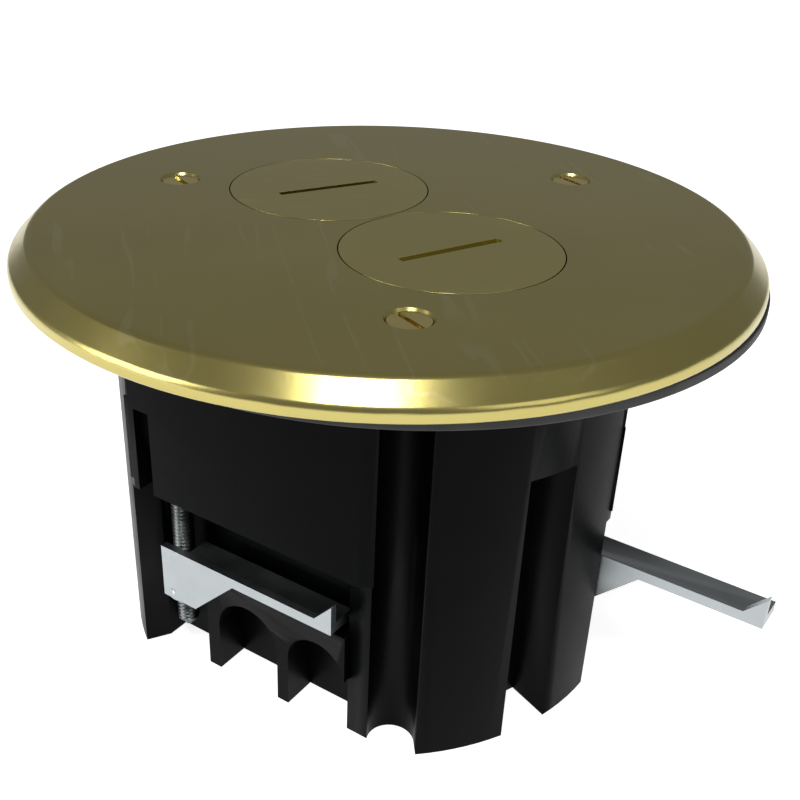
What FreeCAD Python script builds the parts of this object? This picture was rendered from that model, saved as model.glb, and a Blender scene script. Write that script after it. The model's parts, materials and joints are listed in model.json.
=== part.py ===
import FreeCAD, Part
import math
import os
import re

import Sketcher

# Floor socket box: a drop-in box with a round brass cover, two screw-in plugs over a duplex socket,
# and three screw clamps that swing out under the floor.
# Frame: origin on the cover's axis at the floor's surface, +Z up, +X along the line of the two plugs.

SIZES = {
    # cover and sealing ring
    "plate_radius": 65.5,
    "bevel_width": 3.6,
    "bevel_drop": 3.4,
    "rim_height": 2.2,
    "plate_web": 3.0,
    "gasket_thickness": 2.0,
    "gasket_gap": 4.0,
    "gasket_width": 10.0,
    "gasket_shift_x": 1.9,
    "gasket_shift_y": 2.4,
    # cover screws and their inserts
    "cover_screw_circle": 43.85,
    "cover_screw_angle": -30.0,
    "cover_screw_radius": 1.75,
    "cover_head_radius": 3.4,
    "cover_head_height": 1.9,
    "cover_head_sink": 0.4,
    "cover_screw_length": 9.0,
    "cover_screw_slot": 0.9,
    "insert_radius": 3.0,
    "insert_length": 6.4,
    # plugs
    "plug_spacing": 38.1,
    "plug_radius": 18.65,
    "plug_head": 3.0,
    "plug_gap": 0.2,
    "plug_neck_radius": 16.62,
    "plug_neck_length": 6.4,
    "plug_wall": 3.1,
    "plug_crown": 1.2,
    "thread_fit": 0.08,
    "seal_thickness": 1.0,
    "seal_slack": 0.02,
    "collar_radius": 20.5,
    "collar_depth": 7.2,
    "coin_slot_width": 1.6,
    "coin_slot_length": 20.0,
    "coin_slot_depth": 1.5,
    # box
    "body_radius": 49.0,
    "body_depth": 73.9,
    "wall": 2.8,
    "shelf": 2.5,
    "floor_wall": 2.5,
    "flange_radius": 57.5,
    "flange_thickness": 2.4,
    "flange_gap": 0.5,
    "flange_headroom": 0.2,
    "flat_angle": -68.0,
    "flat_distance": 42.5,
    "flat_half": 24.0,
    "recess_top": 37.0,
    "recess_back": 33.0,
    "recess_end": 20.0,
    "leg_side": 23.2,
    "stop_start": 37.5,
    "stop_slope": 0.6,
    "ledge_depth": 52.4,
    "lintel_face": 39.0,
    "pocket_face": 32.2,
    "post_face": 37.8,
    "post_width": 7.0,
    "hub_bay_end": 11.5,
    "rib_one": 8.7,
    "rib_two": 5.1,
    "rib_two_end": 7.6,
    "arch_top": 56.4,
    "window_top": 20.4,
    "window_edge": 19.7,
    "window_back": 37.0,
    "window_wall": 2.0,
    "slot_width": 9.8,
    "slot_back": 40.3,
    "slot_top": 19.9,
    "slot_wall": 2.4,
    "groove_radius": 4.2,
    "groove_circle": 45.7,
    "groove_top": 5.0,
    "groove_wall": 2.2,
    "well_radius": 29.6,
    "lobe_angle": -16.0,
    "lobe_width": 13.0,
    "lobe_end": 45.5,
    "conduit_radius": 13.9,
    # clamps
    "clamp_screw_out": 37.4,
    "clamp_screw_back": 18.0,
    "clamp_screw_radius": 2.08,
    "clamp_screw_fit": 0.06,
    "clamp_screw_depth": 68.0,
    "clamp_head_radius": 3.4,
    "clamp_head_height": 2.6,
    "clamp_head_slot": 1.1,
    "clamp_head_room": 0.3,
    "tower_radius": 4.4,
    "tower_top": 8.0,
    "clip_radius": 3.6,
    "clip_thickness": 0.8,
    "clip_gap": 0.2,
    "arm_low": 48.9,
    "arm_raise": 4.3,
    "arm_swing_angle": 121.0,
    "arm_reach": 36.6,
    "arm_thickness": 2.0,
    "arm_back": 2.2,
    "arm_front": 3.8,
    "cheek_thickness": 1.5,
    "cheek_rear": 2.3,
    "cheek_low": 5.5,
    "cheek_high": 14.8,
    "step_drop": 11.2,
    "step_start": 3.4,
    "step_end": 5.2,
    "hub_radius": 3.9,
    "tooth_length": 3.6,
    "tooth_height": 4.0,
    "nut_radius": 2.9,
    "nut_fit": 0.05,
    "nut_foot": 3.5,
    "nut_foot_thickness": 0.55,
    "nut_height": 3.2,
    # duplex socket
    "yoke_top": 6.0,
    "yoke_thickness": 1.6,
    "yoke_half": 38.8,
    "yoke_width": 12.0,
    "yoke_rail": 31.5,
    "yoke_rail_half": 14.0,
    "yoke_screw": 35.8,
    "yoke_screw_radius": 1.7,
    "yoke_screw_length": 12.0,
    "yoke_head_radius": 2.8,
    "yoke_head_height": 1.4,
    "yoke_screw_slot": 0.8,
    "post_radius": 3.4,
    "post_clearance": 0.1,
    "face_half": 29.6,
    "face_half_width": 10.6,
    "face_depth": 12.0,
    "face_rise": 2.0,
    "face_radius": 13.2,
    "face_gap": 0.3,
    "back_half": 31.0,
    "back_half_width": 13.0,
    "back_depth": 32.0,
    "blade_offset": 3.5,
    "blade_spacing": 12.7,
    "live_blade": 6.6,
    "neutral_blade": 8.2,
    "blade_slot": 1.8,
    "earth_offset": 8.4,
    "earth_radius": 2.5,
    "contact_thickness": 1.2,
    "contact_depth": 11.0,
    "contact_half": 25.5,
    "contact_gap": 0.4,
    "terminal_place": 12.0,
    "earth_screw_place": 8.2,
    "terminal_depth": 20.0,
    "terminal_radius": 1.7,
    "terminal_head": 3.3,
    "terminal_head_height": 2.0,
    "terminal_slot": 0.9,
    "terminal_slot_depth": 0.5,
    "terminal_length": 4.0,
    "rivet_place": 3.2,
    "rivet_radius": 1.1,
    "rivet_head": 1.9,
    "rivet_head_height": 0.9,
    "rivet_fit": 0.1,
}

CLAMPS = ("a", "b", "c")
SIDES = (("right", 1, 87.2), ("left", -1, 82.3))

doc = FreeCAD.newDocument("floor_socket_box")
sheet = doc.addObject("Spreadsheet::Sheet", "sizes")
for row, (alias, number) in enumerate(SIZES.items(), start=1):
    sheet.set("A%d" % row, alias.replace("_", " "))
    sheet.set("B%d" % row, str(number))
    sheet.setAlias("B%d" % row, alias)
doc.recompute()

finished = []


def cells(text):
    """Names the sheet in front of each alias in an expression."""
    def named(word):
        return "sizes." + word.group(0) if word.group(0) in SIZES else word.group(0)

    return re.sub(r"[a-z]\w+", named, text)


def bind(thing, path, text):
    thing.setExpression(path, cells(text))


def finish(thing, label):
    """A finished sub-part takes its plain name and joins the list that is written."""
    thing.Label = label
    finished.append(thing)
    return thing


# ---- part design helpers ----

def new_body(name):
    return doc.addObject("PartDesign::Body", name)


def origin_part(body, role):
    return [part for part in body.Origin.OriginFeatures if part.Role == role][0]


def sketch(body, name, role="XY_Plane", lift="0", turn="0"):
    """A sketch on one of the body's planes, raised by lift; turn is its angle about the Z axis."""
    made = body.newObject("Sketcher::SketchObject", name)
    made.AttachmentSupport = [(origin_part(body, role), "")]
    made.MapMode = "FlatFace"
    about = {"XY_Plane": (0, 0, 1), "YZ_Plane": (0, 1, 0), "XZ_Plane": (0, 1, 0)}[role]
    turned = FreeCAD.Rotation(FreeCAD.Vector(*about), 1)
    made.AttachmentOffset = FreeCAD.Placement(FreeCAD.Vector(), turned)
    bind(made, ".AttachmentOffset.Rotation.Angle", turn)
    if role == "YZ_Plane":
        bind(made, ".AttachmentOffset.Base.x", "(%s) * sin((%s) * 1 deg)" % (lift, turn))
        bind(made, ".AttachmentOffset.Base.z", "(%s) * cos((%s) * 1 deg)" % (lift, turn))
    else:
        bind(made, ".AttachmentOffset.Base.z", lift)
    return made


def hold_point(made, shape, place, x, y):
    """Ties one point of a sketch to two expressions."""
    for kind, text, axis in (("DistanceX", x, -2), ("DistanceY", y, -1)):
        if text == "0":
            made.addConstraint(Sketcher.Constraint("PointOnObject", shape, place, axis))
        else:
            number = made.addConstraint(Sketcher.Constraint(kind, -1, 1, shape, place, 1.0))
            bind(made, "Constraints[%d]" % number, text)


def outline(made, points):
    """A closed outline of straight lines through points, each given by two expressions."""
    count = len(points)
    first = made.GeometryCount
    start = [FreeCAD.Vector(math.cos(math.tau * i / count), math.sin(math.tau * i / count), 0)
             for i in range(count)]
    for i in range(count):
        made.addGeometry(Part.LineSegment(start[i], start[(i + 1) % count]), False)
    for i in range(count):
        made.addConstraint(Sketcher.Constraint("Coincident", first + i, 2, first + (i + 1) % count, 1))
    for i, (x, y) in enumerate(points):
        hold_point(made, first + i, 1, x, y)
    return made


def rectangle(made, x_low, x_high, y_low, y_high):
    return outline(made, [(x_low, y_low), (x_high, y_low), (x_high, y_high), (x_low, y_high)])


def circle(made, radius, x="0", y="0"):
    number = made.addGeometry(Part.Circle(FreeCAD.Vector(1, 1, 0), FreeCAD.Vector(0, 0, 1), 1.0), False)
    hold_point(made, number, 3, x, y)
    limit = made.addConstraint(Sketcher.Constraint("Radius", number, 1.0))
    bind(made, "Constraints[%d]" % limit, radius)
    return made


def pad(body, made, length, name):
    grown = body.newObject("PartDesign::Pad", name)
    grown.Profile = made
    bind(grown, "Length", length)
    made.Visibility = False
    return grown


def pocket(body, made, length, name):
    """A cut from the sketch's plane against its normal."""
    taken = body.newObject("PartDesign::Pocket", name)
    taken.Profile = made
    bind(taken, "Length", length)
    return taken


def revolve(body, made, name):
    turned = body.newObject("PartDesign::Revolution", name)
    turned.Profile = made
    turned.ReferenceAxis = (made, ["V_Axis"])
    turned.Angle = 360
    return turned


def three_round(body, features, name):
    """Repeats features at each third of a turn about the Z axis."""
    pattern = body.newObject("PartDesign::PolarPattern", name)
    pattern.Originals = features
    pattern.Axis = (origin_part(body, "Z_Axis"), [""])
    pattern.Angle = 360
    pattern.Occurrences = 3
    body.Tip = pattern
    return pattern


# ---- part primitives ----

def primitive(kind, name, sizes, x="0", y="0", z="0", axis=(0, 0, 1), angle=0):
    made = doc.addObject(kind, name)
    made.Placement = FreeCAD.Placement(FreeCAD.Vector(), FreeCAD.Rotation(FreeCAD.Vector(*axis), angle))
    for path, text in sizes.items():
        bind(made, path, text)
    for path, text in (("x", x), ("y", y), ("z", z)):
        bind(made, ".Placement.Base.%s" % path, text)
    return made


def cylinder(name, radius, height, x="0", y="0", z="0", axis=(0, 0, 1), angle=0):
    return primitive("Part::Cylinder", name, {"Radius": radius, "Height": height}, x, y, z, axis, angle)


def joined(name, parts):
    made = doc.addObject("Part::MultiFuse", name)
    made.Shapes = parts
    return made


def cut(name, base, tool):
    made = doc.addObject("Part::Cut", name)
    made.Base = base
    made.Tool = tool
    return made


def group(name, parts):
    made = doc.addObject("Part::Compound", name)
    made.Links = parts
    return made


# Heights that several pieces share
TOP = "gasket_thickness + rim_height + bevel_drop"
UNDER = TOP + " - plate_web"
FLANGE_TOP = "gasket_thickness + flange_thickness"
LEDGE = TOP + " - plug_head - seal_thickness"
CHAMBER_FLOOR = "shelf - recess_top"


# ---- cover plate: turned brass with two threaded collars and three countersunk holes ----

def make_cover_plate():
    body = new_body("CoverPlate")
    profile = sketch(body, "PlateProfile", "XZ_Plane")
    outline(profile, [
        ("0", TOP),
        ("plate_radius - bevel_width", TOP),
        ("plate_radius", TOP + " - bevel_drop"),
        ("plate_radius", "gasket_thickness"),
        ("flange_radius + flange_gap", "gasket_thickness"),
        ("flange_radius + flange_gap", FLANGE_TOP + " + flange_headroom"),
        ("collar_radius + plug_spacing / 2", FLANGE_TOP + " + flange_headroom"),
        ("0", UNDER),
    ])
    revolve(body, profile, "Plate")
    for side, sign, _ in SIDES:
        centre = "%d * plug_spacing / 2" % sign
        collar = sketch(body, "Collar_" + side, lift="%s - collar_depth" % UNDER)
        circle(collar, "collar_radius", centre)
        pad(body, collar, "collar_depth + plate_web / 2", "CollarPad_" + side)
    for side, sign, _ in SIDES:
        centre = "%d * plug_spacing / 2" % sign
        seat = circle(sketch(body, "Seat_" + side, lift=TOP), "plug_radius + plug_gap", centre)
        pocket(body, seat, "plug_head + seal_thickness", "SeatPocket_" + side)
        bore = circle(sketch(body, "Thread_" + side, lift=TOP), "plug_neck_radius + thread_fit", centre)
        pocket(body, bore, "plate_web + collar_depth + 1", "ThreadPocket_" + side)
    hole = circle(sketch(body, "ScrewHole", lift=TOP, turn="cover_screw_angle"),
                  "cover_screw_radius + 0.35", "cover_screw_circle")
    three_round(body, [pocket(body, hole, "plate_web + 1", "ScrewHolePocket")], "ScrewHoles")
    sink = body.newObject("PartDesign::SubtractiveCone", "Countersink")
    bind(sink, "Radius1", "cover_screw_radius + 0.35")
    bind(sink, "Radius2", "cover_head_radius + cover_head_sink + 0.1")
    bind(sink, "Height", "cover_head_height + cover_head_sink")
    bind(sink, ".Placement.Base.x", "cover_screw_circle * cos(cover_screw_angle * 1 deg)")
    bind(sink, ".Placement.Base.y", "cover_screw_circle * sin(cover_screw_angle * 1 deg)")
    bind(sink, ".Placement.Base.z", TOP + " - cover_head_height - cover_head_sink")
    three_round(body, [sink], "Countersinks")
    finish(body, "cover_plate")


# ---- plugs: turned brass caps that screw into the collars, each over a sealing ring ----

def make_plug(side, sign, slot_angle):
    body = new_body("Plug_" + side)
    head_low = LEDGE + " + seal_thickness"
    neck_low = head_low + " - plug_neck_length"
    profile = sketch(body, "PlugProfile_" + side, "XZ_Plane")
    outline(profile, [
        ("0", TOP),
        ("plug_radius", TOP),
        ("plug_radius", head_low),
        ("plug_neck_radius", head_low),
        ("plug_neck_radius", neck_low),
        ("plug_neck_radius - plug_wall", neck_low),
        ("plug_neck_radius - plug_wall", head_low + " - plug_crown"),
        ("0", head_low + " - plug_crown"),
    ])
    revolve(body, profile, "Cap_" + side)
    slot = sketch(body, "CoinSlot_" + side, lift=TOP, turn=str(slot_angle))
    rectangle(slot, "-coin_slot_length / 2", "coin_slot_length / 2",
              "-coin_slot_width / 2", "coin_slot_width / 2")
    pocket(body, slot, "coin_slot_depth", "CoinSlotPocket_" + side)
    bind(body, ".Placement.Base.x", "%d * plug_spacing / 2" % sign)
    finish(body, "plug_" + side)


def make_plug_seal(side, sign):
    body = new_body("PlugSeal_" + side)
    ring = sketch(body, "SealRing_" + side, lift=LEDGE)
    circle(ring, "plug_radius - plug_gap / 2")
    circle(ring, "plug_neck_radius + thread_fit + 0.1")
    pad(body, ring, "seal_thickness - seal_slack", "Seal_" + side)
    bind(body, ".Placement.Base.x", "%d * plug_spacing / 2" % sign)
    finish(body, "plug_seal_" + side)


# ---- cover screws and inserts ----

def around(name, index, radius, angle):
    """X and Y expressions of a place on a circle, a number of thirds of a turn round."""
    turn = "(%s + %d) * 1 deg" % (angle, 120 * index)
    return "%s * cos(%s)" % (radius, turn), "%s * sin(%s)" % (radius, turn)


def make_cover_screws():
    screws = []
    for index in range(3):
        x, y = around("cover", index, "cover_screw_circle", "cover_screw_angle")
        head_top = TOP + " - cover_head_sink"
        head = primitive("Part::Cone", "CoverHead%d" % index,
                         {"Radius1": "cover_screw_radius", "Radius2": "cover_head_radius",
                          "Height": "cover_head_height"}, x, y, head_top + " - cover_head_height")
        shank = cylinder("CoverShank%d" % index, "cover_screw_radius", "cover_screw_length - 1",
                         x, y, head_top + " - cover_screw_length")
        blade = primitive("Part::Box", "CoverBlade%d" % index,
                          {"Length": "cover_head_radius * 3",
                           "Width": "cover_screw_slot", "Height": "2"},
                          x + " - cover_head_radius * 1.5", y + " - cover_screw_slot / 2",
                          head_top + " - cover_screw_slot")
        blank = joined("CoverScrewBlank%d" % index, [head, shank])
        screws.append(cut("CoverScrew%d" % index, blank, blade))
    finish(group("CoverScrews", screws), "cover_screws")


def make_cover_inserts():
    inserts = []
    for index in range(3):
        x, y = around("insert", index, "cover_screw_circle", "cover_screw_angle")
        low = FLANGE_TOP + " - insert_length"
        tube = cylinder("InsertTube%d" % index, "insert_radius", "insert_length", x, y, low)
        hole = cylinder("InsertBore%d" % index, "cover_screw_radius + 0.05", "insert_length + 2",
                        x, y, low + " - 1")
        inserts.append(cut("Insert%d" % index, tube, hole))
    finish(group("CoverInserts", inserts), "cover_inserts")


def make_floor_gasket():
    body = new_body("FloorGasket")
    ring = sketch(body, "GasketRing")
    bore = "body_radius + gasket_gap"
    circle(ring, bore + " + gasket_width", "gasket_shift_x", "gasket_shift_y")
    circle(ring, bore, "gasket_shift_x", "gasket_shift_y")
    pad(body, ring, "gasket_thickness", "Gasket")
    finish(body, "floor_gasket")


# ---- box body: a moulded cup with three flats, each with a clamp recess, ribs and an arm window ----

def box_walls(body):
    """The round shell, its flange and its upper chamber."""
    pad(body, circle(sketch(body, "Skirt", lift="-body_depth"), "body_radius"),
        "body_depth + gasket_thickness", "SkirtPad")
    flange = circle(sketch(body, "Flange", lift="gasket_thickness"), "flange_radius")
    pad(body, flange, "flange_thickness", "FlangePad")
    chamber = circle(sketch(body, "Chamber", lift=FLANGE_TOP), "body_radius - wall")
    pocket(body, chamber, "%s - (%s)" % (FLANGE_TOP, CHAMBER_FLOOR), "ChamberPocket")


def box_inner_forms(body):
    """What stands in the chamber at each third of a turn: wall, tower, bosses and lining."""
    base = "%s - 0.5" % CHAMBER_FLOOR
    forms = []
    flat = sketch(body, "FlatWall", lift=base, turn="flat_angle")
    rectangle(flat, "flat_distance - wall", "flat_distance + 0.5", "-flat_half + 0.5", "flat_half - 0.5")
    forms.append(pad(body, flat, "%s - (%s)" % (FLANGE_TOP, base), "FlatWallPad"))
    tower = sketch(body, "ScrewTower", lift=base, turn="flat_angle")
    circle(tower, "tower_radius", "clamp_screw_out", "-clamp_screw_back")
    forms.append(pad(body, tower, "-tower_top - (%s)" % base, "ScrewTowerPad"))
    lining = sketch(body, "WindowLining", lift=base, turn="flat_angle")
    rectangle(lining, "window_back - window_wall", "flat_distance",
              "-leg_side - window_wall", "-window_edge")
    forms.append(pad(body, lining, "window_wall - window_top - (%s)" % base, "WindowLiningPad"))
    boss = sketch(body, "GrooveBoss", lift=base, turn="cover_screw_angle")
    circle(boss, "groove_radius + groove_wall", "body_radius - groove_radius - groove_wall")
    forms.append(pad(body, boss, "%s - (%s)" % (FLANGE_TOP, base), "GrooveBossPad"))
    slot = sketch(body, "SlotLining", lift=base)
    rectangle(slot, "slot_back - slot_wall", "body_radius - 1",
              "-slot_width / 2 - slot_wall", "slot_width / 2 + slot_wall")
    forms.append(pad(body, slot, "slot_wall - slot_top - (%s)" % base, "SlotLiningPad"))
    three_round(body, forms, "InnerForms")


def box_cuts(body):
    """What is cut from the outside at each third of a turn."""
    far = "body_radius + 12"
    below = "body_depth + 1"
    cuts = []
    flat = sketch(body, "Flat", lift="gasket_thickness", turn="flat_angle")
    rectangle(flat, "flat_distance", far, "-flat_half * 1.3", "flat_half * 1.3")
    cuts.append(pocket(body, flat, "gasket_thickness + " + below, "FlatPocket"))
    recess = sketch(body, "Recess", lift="-recess_top", turn="flat_angle")
    outline(recess, [
        ("recess_back", "recess_end"),
        ("recess_back", "-leg_side"),
        ("stop_start", "-leg_side"),
        (far, "-leg_side - stop_slope * (%s - stop_start)" % far),
        (far, "recess_end"),
    ])
    cuts.append(pocket(body, recess, "ledge_depth - recess_top", "RecessPocket"))
    front = sketch(body, "LowerFront", lift="-ledge_depth + 0.01", turn="flat_angle")
    rectangle(front, "lintel_face", far, "-leg_side", "recess_end")
    cuts.append(pocket(body, front, below + " - ledge_depth + 0.01", "LowerFrontPocket"))
    bay = sketch(body, "HubBay", lift="-ledge_depth + 0.01", turn="flat_angle")
    outline(bay, [
        ("recess_back", "-hub_bay_end"),
        ("recess_back", "-leg_side"),
        ("stop_start", "-leg_side"),
        (far, "-leg_side - stop_slope * (%s - stop_start)" % far),
        (far, "-hub_bay_end"),
    ])
    cuts.append(pocket(body, bay, below + " - ledge_depth + 0.01", "HubBayPocket"))
    post = sketch(body, "PostFace", lift="-recess_top", turn="flat_angle")
    rectangle(post, "post_face", far, "recess_end - 0.01", "recess_end + post_width")
    cuts.append(pocket(body, post, below + " - recess_top", "PostFacePocket"))
    for name, low, high in (("One", "-rib_one", "rib_two"), ("Two", "rib_two_end", "recess_end")):
        radius = "((%s) - (%s)) / 2" % (high, low)
        middle = "((%s) + (%s)) / 2" % (high, low)
        spring = "-arch_top - %s" % radius
        door = sketch(body, "Door" + name, "YZ_Plane", lift="lintel_face + 1", turn="flat_angle")
        rectangle(door, low, high, "-body_depth - 1", spring)
        cuts.append(pocket(body, door, "lintel_face + 1 - pocket_face", "DoorPocket" + name))
        crown = sketch(body, "Crown" + name, "YZ_Plane", lift="lintel_face + 1", turn="flat_angle")
        circle(crown, radius, middle, spring)
        cuts.append(pocket(body, crown, "lintel_face + 1 - pocket_face", "CrownPocket" + name))
    window = sketch(body, "Window", lift="-window_top", turn="flat_angle")
    rectangle(window, "window_back", far, "-leg_side", "-window_edge")
    cuts.append(pocket(body, window, "recess_top - window_top + 0.5", "WindowPocket"))
    slot = sketch(body, "Slot", lift="-slot_top")
    rectangle(slot, "slot_back", far, "-slot_width / 2", "slot_width / 2")
    cuts.append(pocket(body, slot, below + " - slot_top", "SlotPocket"))
    groove = sketch(body, "GrooveRound", lift="-groove_top", turn="cover_screw_angle")
    circle(groove, "groove_radius", "groove_circle")
    cuts.append(pocket(body, groove, below + " - groove_top", "GrooveRoundPocket"))
    mouth = sketch(body, "GrooveMouth", lift="-groove_top", turn="cover_screw_angle")
    rectangle(mouth, "groove_circle", far, "-groove_radius", "groove_radius")
    cuts.append(pocket(body, mouth, below + " - groove_top", "GrooveMouthPocket"))
    bore = sketch(body, "TowerBore", lift="-tower_top + 1", turn="flat_angle")
    circle(bore, "clamp_screw_radius + clamp_screw_fit", "clamp_screw_out", "-clamp_screw_back")
    cuts.append(pocket(body, bore, "recess_top + 2 - tower_top", "TowerBorePocket"))
    room = sketch(body, "HeadRoom", lift=FLANGE_TOP, turn="flat_angle")
    circle(room, "clamp_head_radius + clamp_head_room", "clamp_screw_out", "-clamp_screw_back")
    cuts.append(pocket(body, room, "%s + tower_top" % FLANGE_TOP, "HeadRoomPocket"))
    seat = sketch(body, "InsertSeat", lift=FLANGE_TOP, turn="cover_screw_angle")
    circle(seat, "insert_radius", "cover_screw_circle")
    cuts.append(pocket(body, seat, "insert_length", "InsertSeatPocket"))
    lobe = sketch(body, "Lobe", lift="%s + 1" % CHAMBER_FLOOR, turn="lobe_angle")
    rectangle(lobe, "well_radius - 4", "lobe_end", "-lobe_width / 2", "lobe_width / 2")
    cuts.append(pocket(body, lobe, "body_depth + %s + 1 - floor_wall" % CHAMBER_FLOOR, "LobePocket"))
    three_round(body, cuts, "OuterCuts")


def box_middle(body):
    """The deep well, the conduit opening in its floor, and the two posts that carry the socket."""
    well = circle(sketch(body, "Well", lift="%s + 1" % CHAMBER_FLOOR), "well_radius")
    pocket(body, well, "body_depth + %s + 1 - floor_wall" % CHAMBER_FLOOR, "WellPocket")
    entry = circle(sketch(body, "ConduitEntry", lift="floor_wall + 1 - body_depth"), "conduit_radius")
    pocket(body, entry, "floor_wall + 2", "ConduitEntryPocket")
    post_top = "-yoke_top - yoke_thickness"
    for side, sign, _ in SIDES:
        place = "%d * yoke_screw" % sign
        post = sketch(body, "Post_" + side, lift="%s - 0.5" % CHAMBER_FLOOR)
        circle(post, "post_radius", place)
        pad(body, post, "%s - (%s) + 0.5" % (post_top, CHAMBER_FLOOR), "PostPad_" + side)
        hole = sketch(body, "PostHole_" + side, lift=post_top)
        circle(hole, "yoke_screw_radius + post_clearance", place)
        pocket(body, hole, "yoke_screw_length", "PostHolePocket_" + side)


def make_box_body():
    body = new_body("BoxBody")
    box_walls(body)
    box_inner_forms(body)
    box_cuts(body)
    box_middle(body)
    finish(body, "box_body")


# ---- clamps: a screw in its tower, a nut that climbs it, and an arm that swings on the nut ----

def place_clamp(body, index, raised, swung):
    """Moves a clamp piece, drawn about its screw, to its place in the box."""
    turn = "(flat_angle + %d) * 1 deg" % (120 * index)
    bind(body, ".Placement.Base.x",
         "clamp_screw_out * cos(%s) + clamp_screw_back * sin(%s)" % (turn, turn))
    bind(body, ".Placement.Base.y",
         "clamp_screw_out * sin(%s) - clamp_screw_back * cos(%s)" % (turn, turn))
    bind(body, ".Placement.Base.z", raised)
    bind(body, ".Placement.Rotation.Angle", "flat_angle + %d + 90 - %s" % (120 * index, swung))


def clamp_height(index):
    return "-arm_low + arm_raise" if index == 1 else "-arm_low"


def make_clamp_arm(letter, index):
    body = new_body("ClampArm_" + letter)
    strip = sketch(body, "ArmStrip_" + letter, "XZ_Plane", lift="-arm_back")
    outline(strip, [
        ("-cheek_rear", "-step_drop"),
        ("step_end", "-step_drop"),
        ("step_end", "-arm_thickness"),
        ("arm_reach", "-arm_thickness"),
        ("arm_reach", "0"),
        ("step_start", "0"),
        ("step_start", "-step_drop + arm_thickness"),
        ("-cheek_rear", "-step_drop + arm_thickness"),
    ])
    pad(body, strip, "arm_back + arm_front", "ArmStripPad_" + letter)
    cheek = sketch(body, "Cheek_" + letter, "XZ_Plane", lift="arm_front - cheek_thickness")
    outline(cheek, [
        ("-cheek_rear", "-step_drop"),
        ("cheek_low", "-step_drop"),
        ("cheek_high", "-arm_thickness"),
        ("arm_reach", "-arm_thickness"),
        ("arm_reach", "tooth_height"),
        ("arm_reach - tooth_length", "0"),
        ("-cheek_rear", "0"),
    ])
    pad(body, cheek, "cheek_thickness", "CheekPad_" + letter)
    hub = circle(sketch(body, "Hub_" + letter, lift="-step_drop"), "hub_radius")
    pad(body, hub, "arm_thickness", "HubPad_" + letter)
    bore = sketch(body, "HubBore_" + letter, lift="nut_height - nut_foot_thickness - step_drop")
    circle(bore, "nut_radius + nut_fit")
    pocket(body, bore, "nut_height + 1", "HubBorePocket_" + letter)
    body.Placement = FreeCAD.Placement(FreeCAD.Vector(), FreeCAD.Rotation(FreeCAD.Vector(0, 0, 1), 1))
    place_clamp(body, index, clamp_height(index), "arm_swing_angle" if index == 1 else "0")
    finish(body, "clamp_arm_" + letter)


def make_clamp_nut(letter, index):
    body = new_body("ClampNut_" + letter)
    bottom = "-step_drop - nut_foot_thickness - nut_fit"
    profile = sketch(body, "NutProfile_" + letter, "XZ_Plane")
    bore = "clamp_screw_radius + clamp_screw_fit"
    outline(profile, [
        (bore, bottom),
        ("nut_foot", bottom),
        ("nut_foot", bottom + " + nut_foot_thickness"),
        ("nut_radius", bottom + " + nut_foot_thickness"),
        ("nut_radius", bottom + " + nut_height"),
        (bore, bottom + " + nut_height"),
    ])
    revolve(body, profile, "Nut_" + letter)
    body.Placement = FreeCAD.Placement(FreeCAD.Vector(), FreeCAD.Rotation(FreeCAD.Vector(0, 0, 1), 1))
    place_clamp(body, index, clamp_height(index), "0")
    finish(body, "clamp_nut_" + letter)


def make_clamp_screw(letter, index):
    body = new_body("ClampScrew_" + letter)
    profile = sketch(body, "ScrewProfile_" + letter, "XZ_Plane")
    outline(profile, [
        ("0", "clamp_head_height"),
        ("clamp_head_radius - 0.8", "clamp_head_height"),
        ("clamp_head_radius", "clamp_head_height - 0.8"),
        ("clamp_head_radius", "0"),
        ("clamp_screw_radius", "0"),
        ("clamp_screw_radius", "1 + tower_top - clamp_screw_depth"),
        ("clamp_screw_radius - 0.8", "tower_top - clamp_screw_depth"),
        ("0", "tower_top - clamp_screw_depth"),
    ])
    revolve(body, profile, "Screw_" + letter)
    slot = sketch(body, "ScrewSlot_" + letter, lift="clamp_head_height")
    rectangle(slot, "-clamp_head_radius * 1.2", "clamp_head_radius * 1.2",
              "-clamp_head_slot / 2", "clamp_head_slot / 2")
    pocket(body, slot, "clamp_head_slot * 1.2", "ScrewSlotPocket_" + letter)
    body.Placement = FreeCAD.Placement(FreeCAD.Vector(), FreeCAD.Rotation(FreeCAD.Vector(0, 0, 1), 1))
    place_clamp(body, index, "-tower_top", "0")
    finish(body, "clamp_screw_" + letter)


def make_clamp_clip(letter, index):
    body = new_body("ClampClip_" + letter)
    ring = sketch(body, "ClipRing_" + letter)
    circle(ring, "clip_radius")
    circle(ring, "clamp_screw_radius")
    pad(body, ring, "clip_thickness", "Clip_" + letter)
    body.Placement = FreeCAD.Placement(FreeCAD.Vector(), FreeCAD.Rotation(FreeCAD.Vector(0, 0, 1), 1))
    place_clamp(body, index, "-recess_top - clip_gap - clip_thickness", "0")
    finish(body, "clamp_clip_" + letter)


# ---- duplex socket ----

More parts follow.
